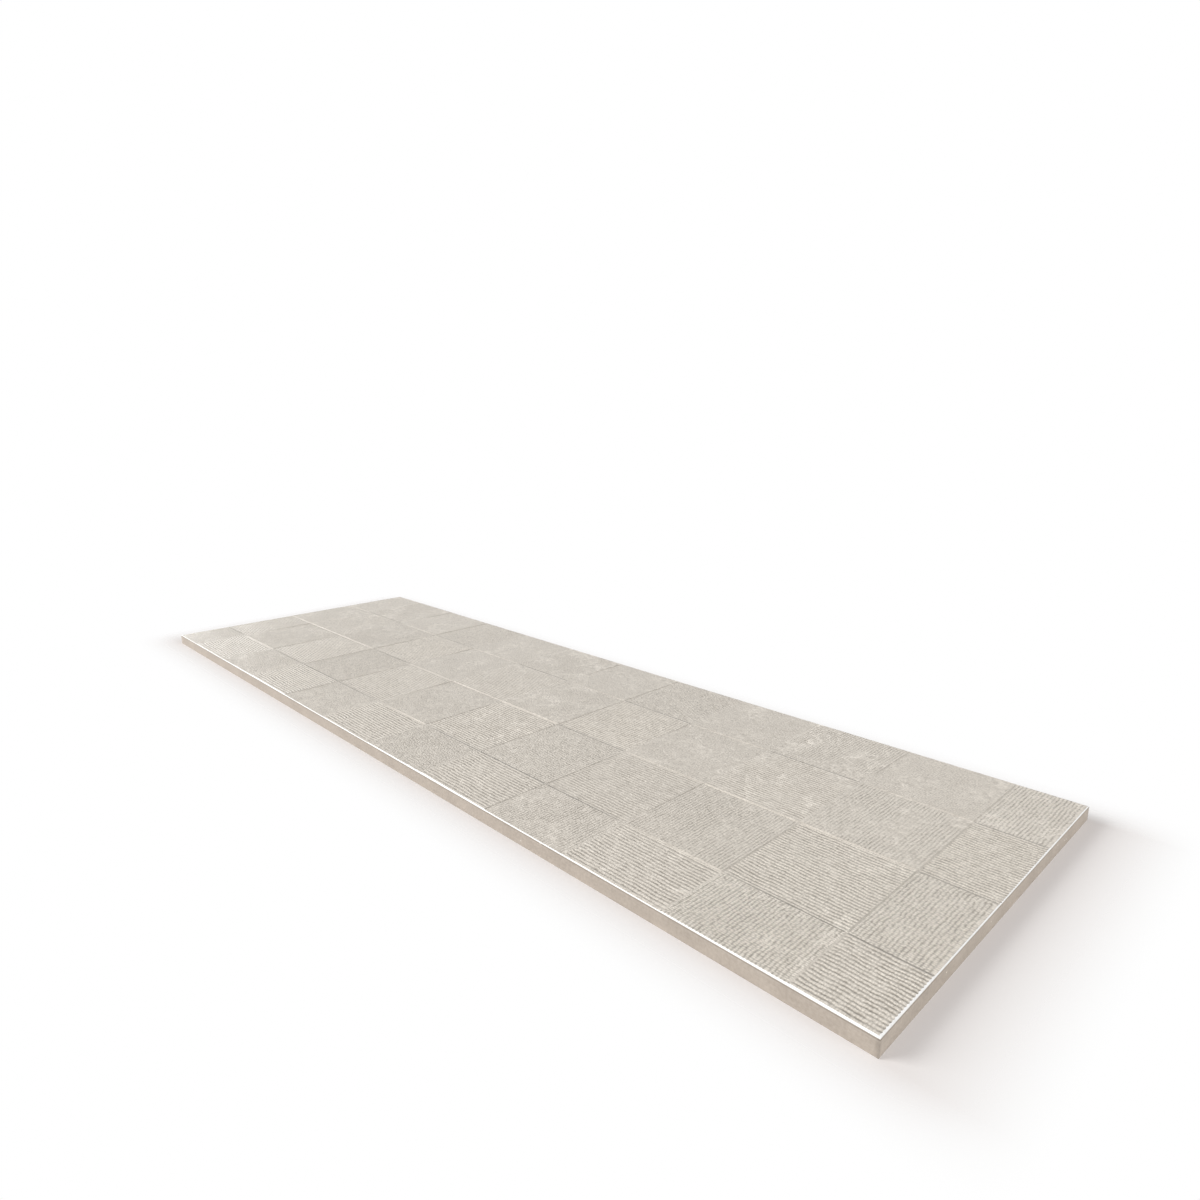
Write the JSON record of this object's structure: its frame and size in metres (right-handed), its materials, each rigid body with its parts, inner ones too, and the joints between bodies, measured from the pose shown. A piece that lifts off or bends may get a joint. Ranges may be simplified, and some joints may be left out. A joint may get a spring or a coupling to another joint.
{
  "type": "ceramic wall tile",
  "caption": "Long rectangular ceramic wall tile with a stone-coloured patchwork face of slightly leaning ribbed, woven and grained patches, a fine bevel and a keyed back.",
  "frame": {"origin": "middle of the back of the tile, on the plane it lies on", "axes": "+X along the length, +Y across the width, +Z out of the glazed face"},
  "size_m": [0.9, 0.3, 0.0108],
  "materials": {
    "glaze": "satin"
  },
  "bodies": {
    "root": {"tile": "glaze"}
  },
  "joints": []
}
